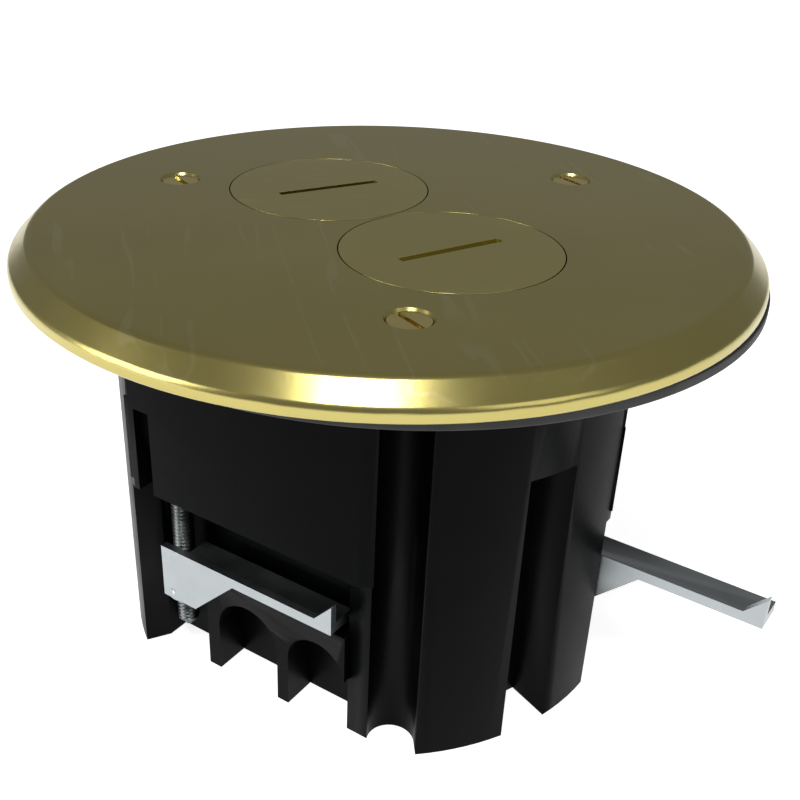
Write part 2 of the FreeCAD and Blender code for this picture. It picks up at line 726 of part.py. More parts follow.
def make_socket_yoke():
    body = new_body("SocketYoke")
    ears = sketch(body, "YokeEars", lift="-yoke_top - yoke_thickness")
    rectangle(ears, "-yoke_half", "yoke_half", "-yoke_width / 2", "yoke_width / 2")
    pad(body, ears, "yoke_thickness", "YokeEarsPad")
    rail = sketch(body, "YokeRail", lift="-yoke_top - yoke_thickness")
    rectangle(rail, "-yoke_rail", "yoke_rail", "-yoke_rail_half", "yoke_rail_half")
    pad(body, rail, "yoke_thickness", "YokeRailPad")
    window = sketch(body, "YokeWindow", lift="-yoke_top")
    rectangle(window, "-face_half - face_gap", "face_half + face_gap",
              "-face_half_width - face_gap", "face_half_width + face_gap")
    pocket(body, window, "yoke_thickness + 1", "YokeWindowPocket")
    holes = sketch(body, "YokeHoles", lift="-yoke_top")
    circle(holes, "yoke_screw_radius + 0.3", "yoke_screw")
    circle(holes, "yoke_screw_radius + 0.3", "-yoke_screw")
    pocket(body, holes, "yoke_thickness + 1", "YokeHolesPocket")
    finish(body, "socket_yoke")


def make_socket_face():
    body = new_body("SocketFace")
    block = sketch(body, "FaceBlock", lift="-face_depth")
    rectangle(block, "-face_half", "face_half", "-face_half_width", "face_half_width")
    pad(body, block, "face_depth - yoke_top", "FaceBlockPad")
    rounds = sketch(body, "FaceRounds", lift="-yoke_top")
    circle(rounds, "face_radius", "plug_spacing / 2")
    circle(rounds, "face_radius", "-plug_spacing / 2")
    pad(body, rounds, "face_rise", "FaceRoundsPad")
    openings = sketch(body, "FaceOpenings", lift="face_rise - yoke_top")
    for sign in (1, -1):
        centre = "%d * plug_spacing / 2" % sign
        for row, length in (("1", "live_blade"), ("-1", "neutral_blade")):
            rectangle(openings, "%s + blade_offset - %s / 2" % (centre, length),
                      "%s + blade_offset + %s / 2" % (centre, length),
                      "%s * blade_spacing / 2 - blade_slot / 2" % row,
                      "%s * blade_spacing / 2 + blade_slot / 2" % row)
        circle(openings, "earth_radius", "%s - earth_offset" % centre)
    pocket(body, openings, "face_depth + face_rise", "FaceOpeningsPocket")
    rivets = sketch(body, "FaceRivetHoles", lift="-yoke_top")
    circle(rivets, "rivet_radius + rivet_fit", "0", "rivet_place")
    circle(rivets, "rivet_radius + rivet_fit", "0", "-rivet_place")
    pocket(body, rivets, "face_depth", "FaceRivetPocket")
    finish(body, "socket_face")


def contact_rows():
    return (("live", "blade_spacing / 2"), ("neutral", "-blade_spacing / 2"), ("earth", "0"))


def make_socket_back():
    body = new_body("SocketBack")
    block = sketch(body, "BackBlock", lift="-back_depth")
    rectangle(block, "-back_half", "back_half", "-back_half_width", "back_half_width")
    pad(body, block, "back_depth - yoke_top - yoke_thickness", "BackBlockPad")
    seat = sketch(body, "BackSeat", lift="-yoke_top - yoke_thickness")
    rectangle(seat, "-face_half - face_gap", "face_half + face_gap",
              "-face_half_width - face_gap", "face_half_width + face_gap")
    pocket(body, seat, "face_depth - yoke_top - yoke_thickness", "BackSeatPocket")
    for name, row in contact_rows():
        trench = sketch(body, "Trench_" + name, lift="-face_depth")
        rectangle(trench, "-contact_half - contact_gap", "contact_half + contact_gap",
                  "%s - contact_thickness - contact_gap" % row, "%s + contact_thickness + contact_gap" % row)
        pocket(body, trench, "contact_depth + contact_gap", "TrenchPocket_" + name)
    rivets = sketch(body, "BackRivetHoles", lift="-face_depth")
    circle(rivets, "rivet_radius + rivet_fit", "0", "rivet_place")
    circle(rivets, "rivet_radius + rivet_fit", "0", "-rivet_place")
    pocket(body, rivets, "back_depth", "BackRivetPocket")
    sockets = []
    for sign in (1, -1):
        for place in ("terminal_place", "-terminal_place"):
            sockets.append((place, sign))
    for number, (place, sign) in enumerate(sockets):
        hole = sketch(body, "TerminalHole%d" % number, "XZ_Plane", lift="%d * back_half_width" % -sign)
        circle(hole, "terminal_radius", place, "-terminal_depth")
        taken = pocket(body, hole, "terminal_length", "TerminalPocket%d" % number)
        taken.Reversed = sign > 0
    earth = sketch(body, "EarthHole", "YZ_Plane", lift="back_half")
    circle(earth, "terminal_radius", "earth_screw_place", "-terminal_depth")
    pocket(body, earth, "terminal_length", "EarthPocket")
    finish(body, "socket_back")


def make_contacts():
    for name, row in contact_rows():
        body = new_body("Contacts_" + name)
        rail = sketch(body, "Rail_" + name, lift="-face_depth - contact_depth")
        rectangle(rail, "-contact_half", "contact_half",
                  "%s - contact_thickness" % row, "%s + contact_thickness" % row)
        pad(body, rail, "contact_depth - 0.2", "RailPad_" + name)
        shift = "-earth_offset" if name == "earth" else "blade_offset"
        grips = sketch(body, "Grips_" + name, lift="-face_depth - 0.2")
        for sign in (1, -1):
            middle = "%d * plug_spacing / 2 + %s" % (sign, shift)
            rectangle(grips, middle + " - 3.6", middle + " + 3.6",
                      "%s - contact_thickness / 3" % row, "%s + contact_thickness / 3" % row)
        pocket(body, grips, "contact_depth * 0.75", "GripsPocket_" + name)
        gap = sketch(body, "RailGap_" + name, lift="-face_depth - 0.2")
        rectangle(gap, "-6", "6", "%s - contact_thickness * 2" % row, "%s + contact_thickness * 2" % row)
        pocket(body, gap, "contact_depth * 0.6", "RailGapPocket_" + name)
        finish(body, name + "_contacts")


def side_screw(name, place, sign):
    """A terminal screw that stands out of the socket's long side."""
    angle = -90 if sign > 0 else 90
    start = "%d * (back_half_width - terminal_length)" % sign
    head_start = "%d * back_half_width" % sign
    shank = cylinder(name + "Shank", "terminal_radius", "terminal_length + 0.5", place, start,
                     "-terminal_depth", (1, 0, 0), angle)
    head = cylinder(name + "Head", "terminal_head", "terminal_head_height", place, head_start,
                    "-terminal_depth", (1, 0, 0), angle)
    blade = primitive("Part::Box", name + "Blade",
                      {"Length": "terminal_head * 3", "Width": "terminal_slot_depth * 2",
                       "Height": "terminal_slot"},
                      place + " - terminal_head * 1.5",
                      "%d * (back_half_width + terminal_head_height) - terminal_slot_depth" % sign,
                      "-terminal_depth - terminal_slot / 2")
    return cut(name, joined(name + "Blank", [shank, head]), blade)


def make_terminal_screws():
    for name, sign in (("live", 1), ("neutral", -1)):
        screws = []
        for number, place in enumerate(("terminal_place", "-terminal_place")):
            screws.append(side_screw("Terminal%s%d" % (name, number), place, sign))
        finish(group("Terminals" + name, screws), "terminal_screws_" + name)
    shank = cylinder("EarthShank", "terminal_radius", "terminal_length + 0.5", "back_half - terminal_length",
                     "earth_screw_place", "-terminal_depth", (0, 1, 0), 90)
    head = cylinder("EarthHead", "terminal_head", "terminal_head_height", "back_half",
                    "earth_screw_place", "-terminal_depth", (0, 1, 0), 90)
    blade = primitive("Part::Box", "EarthBlade",
                      {"Length": "terminal_slot_depth * 2", "Width": "terminal_head * 3",
                       "Height": "terminal_slot"},
                      "back_half + terminal_head_height - terminal_slot_depth",
                      "earth_screw_place - terminal_head * 1.5", "-terminal_depth - terminal_slot / 2")
    finish(cut("EarthScrew", joined("EarthBlank", [shank, head]), blade), "earth_screw")


def make_yoke_screws():
    screws = []
    for side, sign, _ in SIDES:
        place = "%d * yoke_screw" % sign
        shank = cylinder("YokeShank_" + side, "yoke_screw_radius", "yoke_screw_length - 1",
                         place, "0", "1 - yoke_top - yoke_screw_length")
        head = cylinder("YokeHead_" + side, "yoke_head_radius", "yoke_head_height", place, "0", "-yoke_top")
        blade = primitive("Part::Box", "YokeBlade_" + side,
                          {"Length": "yoke_head_radius * 3", "Width": "yoke_screw_slot",
                           "Height": "yoke_head_height"},
                          place + " - yoke_head_radius * 1.5", "-yoke_screw_slot / 2",
                          "yoke_head_height * 0.5 - yoke_top")
        screws.append(cut("YokeScrew_" + side, joined("YokeBlank_" + side, [shank, head]), blade))
    finish(group("YokeScrews", screws), "yoke_screws")


def make_socket_rivets():
    rivets = []
    for number, place in enumerate(("rivet_place", "-rivet_place")):
        shank = cylinder("RivetShank%d" % number, "rivet_radius", "back_depth - yoke_top",
                         "0", place, "-back_depth")
        top = cylinder("RivetTop%d" % number, "rivet_head", "rivet_head_height", "0", place, "-yoke_top")
        foot = cylinder("RivetFoot%d" % number, "rivet_head", "rivet_head_height", "0", place,
                        "-back_depth - rivet_head_height")
        rivets.append(joined("Rivet%d" % number, [shank, top, foot]))
    finish(group("SocketRivets", rivets), "socket_rivets")


make_cover_plate()
for side, sign, slot_angle in SIDES:
    make_plug(side, sign, slot_angle)
    make_plug_seal(side, sign)
make_cover_screws()
make_cover_inserts()
make_floor_gasket()
make_box_body()
for index, letter in enumerate(CLAMPS):
    make_clamp_arm(letter, index)
    make_clamp_nut(letter, index)
    make_clamp_screw(letter, index)
    make_clamp_clip(letter, index)
make_socket_yoke()
make_socket_face()
make_socket_back()
make_contacts()
make_terminal_screws()
make_yoke_screws()
make_socket_rivets()

doc.recompute()

for thing in doc.Objects:
    if "Invalid" in thing.State or "Error" in thing.State:
        raise RuntimeError("%s failed: %s" % (thing.Name, thing.State))
for thing in finished:
    if thing.Shape.isNull() or not thing.Shape.isValid():
        raise RuntimeError("%s has no valid shape" % thing.Label)

os.makedirs("parts", exist_ok=True)
for thing in finished:
    thing.Shape.exportStep("parts/%s.step" % thing.Label)
    print(thing.Label, len(thing.Shape.Solids), round(thing.Shape.Volume, 1))
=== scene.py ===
import json
import math

import bmesh
import bpy
import numpy as np
from mathutils import Matrix, Vector


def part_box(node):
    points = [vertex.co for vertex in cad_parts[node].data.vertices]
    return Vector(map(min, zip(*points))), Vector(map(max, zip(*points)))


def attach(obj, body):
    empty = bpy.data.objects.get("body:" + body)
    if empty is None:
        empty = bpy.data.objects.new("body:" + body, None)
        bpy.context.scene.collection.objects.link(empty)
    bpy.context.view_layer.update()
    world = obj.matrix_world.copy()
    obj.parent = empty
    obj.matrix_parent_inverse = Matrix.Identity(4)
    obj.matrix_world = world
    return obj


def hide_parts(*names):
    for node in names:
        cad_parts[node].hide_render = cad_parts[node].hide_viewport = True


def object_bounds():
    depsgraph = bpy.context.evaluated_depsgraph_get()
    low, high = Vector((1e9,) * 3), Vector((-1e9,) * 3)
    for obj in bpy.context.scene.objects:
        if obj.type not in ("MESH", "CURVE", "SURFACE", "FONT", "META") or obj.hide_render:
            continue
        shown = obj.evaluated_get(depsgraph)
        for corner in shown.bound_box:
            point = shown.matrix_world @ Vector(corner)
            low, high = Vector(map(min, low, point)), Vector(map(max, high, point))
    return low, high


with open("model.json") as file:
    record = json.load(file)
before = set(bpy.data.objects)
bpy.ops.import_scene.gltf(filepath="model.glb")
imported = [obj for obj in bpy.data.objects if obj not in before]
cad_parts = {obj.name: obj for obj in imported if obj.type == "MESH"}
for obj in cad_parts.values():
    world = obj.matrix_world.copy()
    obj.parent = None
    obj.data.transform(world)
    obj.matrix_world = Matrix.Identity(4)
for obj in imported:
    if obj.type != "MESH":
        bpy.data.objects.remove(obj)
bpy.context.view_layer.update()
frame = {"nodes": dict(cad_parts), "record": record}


# ---------------------------------------------------------------------------------------------
# Box body. A cup moulded in black glass-filled thermoplastic, with a fine spark-eroded skin on
# its walls. It drops through the floor, and its flange stays above the hole.
# ---------------------------------------------------------------------------------------------

# Points closer than this many metres are one, and faces within this angle are one flat face.
MERGE_REACH = 2e-6
FLAT_ANGLE = math.radians(0.4)

bodies = {}
for body, nodes in frame["record"]["behaviour"]["bodies"].items():
    for node in nodes:
        bodies[node] = body


def weigh_edges(mesh, inner, share):
    """Bevel weights: 1 on a sharp edge, or share where the edge's middle is nearer the upright
    axis than inner metres, and 0 on an edge that isn't sharp."""
    ends = np.empty(len(mesh.edges) * 2, np.int32)
    points = np.empty(len(mesh.vertices) * 3, np.float32)
    sharp = np.zeros(len(mesh.edges), bool)
    mesh.edges.foreach_get("vertices", ends)
    mesh.vertices.foreach_get("co", points)
    mesh.attributes["sharp_edge"].data.foreach_get("value", sharp)
    middle = points.reshape(-1, 3)[ends.reshape(-1, 2)].mean(axis=1)
    weight = sharp * np.where(np.hypot(middle[:, 0], middle[:, 1]) < inner, share, 1.0)
    mesh.attributes.new("bevel_weight_edge", "FLOAT", "EDGE").data.foreach_set("value", weight)


def dress(node, material, edge=0.0002, segments=2, smooth=32, inner=0.0, share=1.0):
    """A copy of a node's mesh with its triangles joined into flat faces, its round faces shaded
    smooth, and a round of radius edge (metres) along every sharp edge, or share of it on the
    edges nearer the upright axis than inner."""
    source = frame["nodes"][node]
    piece = bpy.data.objects.new(node + "_finish", source.data.copy())
    bpy.context.scene.collection.objects.link(piece)
    shape = bmesh.new()
    shape.from_mesh(piece.data)
    bmesh.ops.remove_doubles(shape, verts=shape.verts, dist=MERGE_REACH)
    bmesh.ops.dissolve_limit(shape, angle_limit=FLAT_ANGLE, verts=shape.verts, edges=shape.edges,
                             use_dissolve_boundaries=False)
    shape.to_mesh(piece.data)
    shape.free()
    piece.data.shade_smooth()
    piece.data.set_sharp_from_angle(angle=math.radians(smooth))
    piece.data.materials.clear()
    piece.data.materials.append(material)
    if edge:
        round_off = piece.modifiers.new("edges", "BEVEL")
        round_off.width = edge
        round_off.segments = segments
        weigh_edges(piece.data, inner, share)
        round_off.limit_method = "WEIGHT"
        round_off.harden_normals = True
    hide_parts(node)
    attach(piece, bodies[node])
    return piece


def effect_group(name, inputs, outputs):
    """An empty shader group with float inputs (name, value) and float outputs."""
    group = bpy.data.node_groups.new(name, "ShaderNodeTree")
    for label, value in inputs:
        socket = group.interface.new_socket(label, in_out="INPUT", socket_type="NodeSocketFloat")
        socket.default_value = value
    for label in outputs:
        group.interface.new_socket(label, in_out="OUTPUT", socket_type="NodeSocketFloat")
    return group


def link(tree, start, end):
    tree.links.new(start, end)


# The noise lies mostly between these two values.
NOISE_SPAN = (0.3, 0.7)


def mottle_effect():
    """Slow cloudy change over a surface: noise stretched to the whole of 0 to 1 where Amount is 1,
    and flat at 0.5 where it is 0."""
    group = effect_group("mottle", [("Scale", 200.0), ("Detail", 4.0), ("Amount", 0.5)], ["Value"])
    nodes = group.nodes
    inlet = nodes.new("NodeGroupInput")
    outlet = nodes.new("NodeGroupOutput")
    place = nodes.new("ShaderNodeTexCoord")
    noise = nodes.new("ShaderNodeTexNoise")
    spread = nodes.new("ShaderNodeMapRange")
    middle = nodes.new("ShaderNodeMath")
    middle.operation = "MULTIPLY_ADD"
    middle.inputs[2].default_value = 0.5
    spread.inputs["From Min"].default_value = NOISE_SPAN[0]
    spread.inputs["From Max"].default_value = NOISE_SPAN[1]
    spread.inputs["To Min"].default_value = -0.5
    spread.inputs["To Max"].default_value = 0.5
    link(group, place.outputs["Object"], noise.inputs["Vector"])
    link(group, inlet.outputs["Scale"], noise.inputs["Scale"])
    link(group, inlet.outputs["Detail"], noise.inputs["Detail"])
    link(group, noise.outputs["Fac"], spread.inputs["Value"])
    link(group, spread.outputs["Result"], middle.inputs[0])
    link(group, inlet.outputs["Amount"], middle.inputs[1])
    link(group, middle.outputs[0], outlet.inputs["Value"])
    return group


# Marks run long where the noise is stretched, lie where it is near one level, and come in patches.
MARK_STRETCH = (0.06, 1.0, 1.0)
MARK_LEVEL = 0.56
PATCH_SCALE = 55.0
PATCH_SPAN = (0.54, 0.62)


def scratch_effect():
    """Thin straight marks: stretched noise, kept only where it is near one level, broken up by
    a second noise. Turn sets their direction about Z, in radians."""
    inputs = [("Turn", 0.0), ("Density", 90.0), ("Fineness", 0.02), ("Amount", 1.0)]
    group = effect_group("scratches", inputs, ["Mask"])
    nodes = group.nodes
    inlet = nodes.new("NodeGroupInput")
    outlet = nodes.new("NodeGroupOutput")
    place = nodes.new("ShaderNodeTexCoord")
    turned = nodes.new("ShaderNodeVectorRotate")
    turned.rotation_type = "Z_AXIS"
    stretched = nodes.new("ShaderNodeVectorMath")
    stretched.operation = "MULTIPLY"
    stretched.inputs[1].default_value = MARK_STRETCH
    lines = nodes.new("ShaderNodeTexNoise")
    level = nodes.new("ShaderNodeMath")
    level.operation = "COMPARE"
    level.inputs[1].default_value = MARK_LEVEL
    patches = nodes.new("ShaderNodeTexNoise")
    patches.inputs["Scale"].default_value = PATCH_SCALE
    rare = nodes.new("ShaderNodeMapRange")
    rare.inputs["From Min"].default_value = PATCH_SPAN[0]
    rare.inputs["From Max"].default_value = PATCH_SPAN[1]
    both = nodes.new("ShaderNodeMath")
    both.operation = "MULTIPLY"
    scaled = nodes.new("ShaderNodeMath")
    scaled.operation = "MULTIPLY"
    link(group, place.outputs["Object"], turned.inputs["Vector"])
    link(group, inlet.outputs["Turn"], turned.inputs["Angle"])
    link(group, turned.outputs["Vector"], stretched.inputs[0])
    link(group, stretched.outputs["Vector"], lines.inputs["Vector"])
    link(group, inlet.outputs["Density"], lines.inputs["Scale"])
    link(group, lines.outputs["Fac"], level.inputs[0])
    link(group, inlet.outputs["Fineness"], level.inputs[2])
    link(group, turned.outputs["Vector"], patches.inputs["Vector"])
    link(group, patches.outputs["Fac"], rare.inputs["Value"])
    link(group, level.outputs[0], both.inputs[0])
    link(group, rare.outputs["Result"], both.inputs[1])
    link(group, both.outputs[0], scaled.inputs[0])
    link(group, inlet.outputs["Amount"], scaled.inputs[1])
    link(group, scaled.outputs[0], outlet.inputs["Mask"])
    return group


MOTTLE = mottle_effect()
SCRATCHES = scratch_effect()


def use_group(tree, group, **values):
    """One placed copy of an effect group with its own values."""
    node = tree.nodes.new("ShaderNodeGroup")
    node.node_tree = group
    for name, value in values.items():
        node.inputs[name].default_value = value
    return node


def blend_colours(tree, factor, low, high):
    mixed = tree.nodes.new("ShaderNodeMix")
    mixed.data_type = "RGBA"
    mixed.inputs[6].default_value = (*low, 1)
    mixed.inputs[7].default_value = (*high, 1)
    link(tree, factor, mixed.inputs[0])
    return mixed


def spread_value(tree, factor, low, high):
    ranged = tree.nodes.new("ShaderNodeMapRange")
    ranged.inputs["To Min"].default_value = low
    ranged.inputs["To Max"].default_value = high
    link(tree, factor, ranged.inputs["Value"])
    return ranged.outputs["Result"]


def relief(tree, height, strength, distance):
    bump = tree.nodes.new("ShaderNodeBump")
    bump.inputs["Strength"].default_value = strength
    bump.inputs["Distance"].default_value = distance
    link(tree, height, bump.inputs["Height"])
    return bump.outputs["Normal"]


def finish_of(name, low, high, rough, metallic=0.0, scale=200.0, grain=1800.0, depth=0.00002,
              strength=0.4, specular=0.5):
    """A material whose colour drifts between low and high, with roughness between two limits and
    a fine grain raised by depth metres."""
    material = bpy.data.materials.new(name)
    material.use_nodes = True
    tree = material.node_tree
    shader = tree.nodes["Principled BSDF"]
    shader.inputs["Metallic"].default_value = metallic
    shader.inputs["Specular IOR Level"].default_value = specular
    drift = use_group(tree, MOTTLE, Scale=scale, Amount=0.9)
    skin = use_group(tree, MOTTLE, Scale=grain, Detail=2.0, Amount=1.0)
    colour = blend_colours(tree, drift.outputs["Value"], low, high)
    link(tree, colour.outputs[2], shader.inputs["Base Color"])
    link(tree, spread_value(tree, drift.outputs["Value"], *rough), shader.inputs["Roughness"])
    link(tree, relief(tree, skin.outputs["Value"], strength, depth), shader.inputs["Normal"])
    return material


def add_scratches(material, colour, turn, amount, density=90.0, fineness=0.02):
    """Lays thin marks of another colour over a material made by finish_of."""
    tree = material.node_tree
    shader = tree.nodes["Principled BSDF"]
    old = shader.inputs["Base Color"].links[0].from_socket
    marks = use_group(tree, SCRATCHES, Turn=turn, Amount=amount, Density=density, Fineness=fineness)
    mixed = tree.nodes.new("ShaderNodeMix")
    mixed.data_type = "RGBA"
    mixed.inputs[7].default_value = (*colour, 1)
    link(tree, marks.outputs["Mask"], mixed.inputs[0])
    link(tree, old, mixed.inputs[6])
    link(tree, mixed.outputs[2], shader.inputs["Base Color"])


box_black = finish_of("black_moulding", (0.0010, 0.0012, 0.0012), (0.0024, 0.0027, 0.0026),
                      (0.32, 0.42), scale=70.0, grain=2600.0, depth=0.00003, specular=0.04)
box = dress("box_body", box_black, edge=0.00025, segments=2, smooth=30)


# ---------------------------------------------------------------------------------------------
# Floor seal. A flat ring cut from black rubber, loose between the box's flange and the floor.
# ---------------------------------------------------------------------------------------------
SEAM_REACH = 1e-7
SMOOTH_ANGLE = math.radians(40)


def surface(name, grid, closed, material):
    """A mesh from a grid of points, rows by columns. The columns join up round the piece where
    closed is true, and equal points at a seam or pole become one."""
    rows, columns = grid.shape[:2]
    index = np.arange(rows * columns).reshape(rows, columns)
    ahead = np.roll(index, -1, axis=1) if closed else index[:, 1:]
    here = index if closed else index[:, :-1]
    quads = np.stack([here[:-1], ahead[:-1], ahead[1:], here[1:]], axis=-1).reshape(-1, 4)
    mesh = bpy.data.meshes.new(name)
    mesh.from_pydata(grid.reshape(-1, 3).tolist(), [], quads.tolist())
    shape = bmesh.new()
    shape.from_mesh(mesh)
    bmesh.ops.remove_doubles(shape, verts=shape.verts, dist=SEAM_REACH)
    bmesh.ops.recalc_face_normals(shape, faces=shape.faces)
    shape.to_mesh(mesh)
    shape.free()
    mesh.shade_smooth()
    mesh.set_sharp_from_angle(angle=SMOOTH_ANGLE)
    mesh.materials.append(material)
    piece = bpy.data.objects.new(name, mesh)
    bpy.context.scene.collection.objects.link(piece)
    return piece


def turned_grid(radius, height, centre, steps=128):
    """Profile points (radius, height) carried round the upright axis through centre: x is
    centre x plus radius times cosine of the angle, y the same with sine."""
    angle = np.linspace(0, 2 * np.pi, steps, endpoint=False)
    radius = np.asarray(radius, float)[:, None]
    height = np.asarray(height, float)[:, None] + 0 * angle
    across = centre[0] + radius * np.cos(angle)
    along = centre[1] + radius * np.sin(angle)
    return np.stack([across, along, height], axis=-1)


def rounded_ring(inner, outer, low, high, corner):
    """The closed section of a flat ring with round corners, as (radius, height) arrays: the four
    quarter circles of that corner size in turn."""
    sweep = np.linspace(0, np.pi / 2, 5)
    middles = ((outer - corner, high - corner, 0.0), (inner + corner, high - corner, np.pi / 2),
               (inner + corner, low + corner, np.pi), (outer - corner, low + corner, 1.5 * np.pi))
    radius = np.concatenate([r + corner * np.cos(sweep + start) for r, _, start in middles])
    height = np.concatenate([z + corner * np.sin(sweep + start) for _, z, start in middles])
    return np.append(radius, radius[0]), np.append(height, height[0])


def centre_of(node):
    low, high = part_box(node)
    return [(a + b) / 2 for a, b in zip(low, high)]


def new_ring(name, node, width, corner, material, steps=160):
    """A ring seal that fills a node's box, of that width from bore to outside, with round edges."""
    low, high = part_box(node)
    outer = (high[0] - low[0]) / 2
    section = rounded_ring(outer - width, outer, low[2], high[2], corner)
    piece = surface(name, turned_grid(*section, centre_of(node), steps), True, material)
    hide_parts(node)
    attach(piece, bodies[node])


rubber = finish_of("seal_rubber", (0.010, 0.010, 0.010), (0.022, 0.022, 0.021), (0.55, 0.75),
                   scale=120.0, grain=900.0, depth=0.00003)
SIDES = ("right", "left")
FLOOR_RING_WIDTH = 0.0100
FLOOR_RING_ROUND = 0.0004
PLUG_RING_WIDTH = 0.00175
PLUG_RING_ROUND = 0.0002
new_ring("floor_seal_ring", "floor_gasket", FLOOR_RING_WIDTH, FLOOR_RING_ROUND, rubber)
for side in SIDES:
    new_ring("plug_seal_ring_" + side, "plug_seal_" + side, PLUG_RING_WIDTH, PLUG_RING_ROUND,
             rubber, steps=96)


# ---------------------------------------------------------------------------------------------
# Duplex socket. A zinc-plated strap, a moulded face with two outlets, and a moulded back that
# holds the brass contacts. Two rivets hold it together and two screws fix it to the box.
# ---------------------------------------------------------------------------------------------

zinc = finish_of("zinc_plate", (0.36, 0.39, 0.40), (0.41, 0.44, 0.45), (0.34, 0.42), metallic=1.0,
                 scale=160.0, grain=1500.0, depth=0.00001, strength=0.2)
add_scratches(zinc, (0.46, 0.47, 0.48), 0.7, 0.25, density=160.0)
dark_phenolic = finish_of("socket_face_moulding", (0.022, 0.019, 0.017), (0.034, 0.030, 0.027),
                          (0.22, 0.34), scale=150.0, grain=2200.0)
grey_phenolic = finish_of("socket_back_moulding", (0.030, 0.027, 0.025), (0.050, 0.046, 0.042),
                          (0.4, 0.55), scale=150.0, grain=2000.0)
contact_brass = finish_of("stamped_brass", (0.60, 0.42, 0.17), (0.78, 0.58, 0.28), (0.25, 0.4),
                          metallic=1.0)
green_zinc = finish_of("green_screw", (0.02, 0.16, 0.05), (0.04, 0.24, 0.08), (0.3, 0.45),
                       metallic=0.6)
SOCKET_EDGE = 0.00015
for node, material, slot in (
        ("socket_yoke", zinc, "zinc_steel"),
        ("yoke_screws", zinc, "zinc_steel"),
        ("socket_rivets", zinc, "zinc_steel"),
        ("terminal_screws_neutral", zinc, "zinc_steel"),
        ("socket_face", dark_phenolic, "socket_face_moulding"),
        ("socket_back", grey_phenolic, "socket_back_moulding"),
        ("live_contacts", contact_brass, "contact_brass"),
        ("neutral_contacts", contact_brass, "contact_brass"),
        ("earth_contacts", contact_brass, "contact_brass"),
        ("terminal_screws_live", contact_brass, "contact_brass"),
        ("earth_screw", green_zinc, "green_screw")):
    dress(node, material, edge=SOCKET_EDGE)


# ---------------------------------------------------------------------------------------------
# Swing clamps. Each is a pressed arm in zinc-plated steel on a nut, drawn up by a long slotted
# machine screw that stands in a tower inside the box and is kept there by a spring clip.
# ---------------------------------------------------------------------------------------------
SCREW_PITCH = 0.000794
THREAD_DEPTH = 0.00042
THREAD_END = 0.45
FLANK_SLOPE = 1.25
CREST_FLAT = 0.12
HEAD_BOW = 0.06
SLOT_WALL = 0.15


def threaded_grid(centre, radius, low, high, pitch, depth, steps=24, rows_per_turn=6, taper=0.0012):
    """A right-hand thread: the radius falls by up to depth with the distance from the nearest
    crest, measured along the axis less the angle's share of one pitch. The last taper metres at
    the foot narrow to a flat end, THREAD_END of the full radius."""
    angle = np.linspace(0, 2 * np.pi, steps, endpoint=False)
    height = np.linspace(low, high, int((high - low) / pitch * rows_per_turn))[:, None] + 0 * angle
    phase = (height / pitch - angle / (2 * np.pi)) % 1.0
    crest = np.abs(phase - 0.5) * 2
    lead = np.clip((height - low) / taper, THREAD_END, 1.0)
    reach = (radius - depth * np.clip(crest * FLANK_SLOPE - CREST_FLAT, 0, 1)) * lead
    across = centre[0] + reach * np.cos(angle)
    along = centre[1] + reach * np.sin(angle)
    body = np.stack([across, along, height], axis=-1)
    foot = np.broadcast_to(np.array([centre[0], centre[1], low]), (1, steps, 3))
    top = np.broadcast_to(np.array([centre[0], centre[1], high]), (1, steps, 3))
    return np.concatenate([foot, body, top])


def slotted_head(name, centre, radius, low, high, corner, slot_half, slot_floor, slot_turn,
                 material):
    """A low round screw head: a disc whose top bows up and whose slot sinks the top grid wherever
    it is nearer than slot_half to the slot's middle line."""
    steps = 96
    angle = np.linspace(0, 2 * np.pi, steps, endpoint=False)
    # Circles of points from the middle out, by share of the radius, closer together at the rim.
    share = np.concatenate([np.linspace(0, 0.9, 40), np.linspace(0.91, 1.0, 6)])
    across = share[:, None] * radius
    past = np.clip((across - radius + corner) / corner, 0, 1)
    fall = corner * (1 - np.sqrt(np.clip(1 - past ** 2, 0, 1)))
    x = across * np.cos(angle)
    y = across * np.sin(angle)
    from_line = np.abs(-x * math.sin(slot_turn) + y * math.cos(slot_turn))
    crown = high - fall - HEAD_BOW * corner * share[:, None] ** 2
    cutting = np.clip((slot_half - from_line) / (SLOT_WALL * slot_half), 0, 1)
    height = crown + 0 * angle - (crown - slot_floor) * cutting
    top = np.stack([centre[0] + x, centre[1] + y, height], axis=-1)
    rim = np.stack([centre[0] + radius * np.cos(angle), centre[1] + radius * np.sin(angle),
                    np.full(steps, low)], axis=-1)[None]
    under = np.broadcast_to(np.array([centre[0], centre[1], low]), (1, steps, 3))
    return surface(name, np.concatenate([top, rim, under]), True, material)


# Painted shade: the screw threads get a darker copy of the plate zinc, standing in for the shade of
# the recess where the screw tails stand.
shaded_thread_zinc = finish_of("zinc_thread_painted_shade", (0.10, 0.11, 0.11), (0.20, 0.22, 0.22), (0.30, 0.42),
                        metallic=1.0, scale=300.0, grain=2000.0)
CLAMPS = ("a", "b", "c")
THREAD_RADIUS = 0.00206
HEAD_HEIGHT = 0.0026
HEAD_ROUND = 0.0007
SLOT_HALF = 0.00055
SLOT_DEPTH = 0.0013
SLOT_TURN = 0.3
OVERLAP = 0.0002
CLAMP_EDGES = (("clamp_arm_", 0.0003), ("clamp_nut_", 0.00012), ("clamp_clip_", 0.00012))
for letter in CLAMPS:
    node = "clamp_screw_" + letter
    low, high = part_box(node)
    middle = centre_of(node)
    head_under = high[2] - HEAD_HEIGHT
    helix = threaded_grid(middle, THREAD_RADIUS, low[2], head_under + OVERLAP, SCREW_PITCH,
                          THREAD_DEPTH)
    shank = surface("clamp_thread_" + letter, helix, True, shaded_thread_zinc)
    head = slotted_head("clamp_screw_head_" + letter, middle, (high[0] - low[0]) / 2, head_under,
                        high[2], HEAD_ROUND, SLOT_HALF, high[2] - SLOT_DEPTH, SLOT_TURN, zinc)
    for piece in (shank, head):
        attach(piece, bodies[node])
    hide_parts(node)
    for part, edge in CLAMP_EDGES:
        dress(part + letter, zinc, edge=edge)


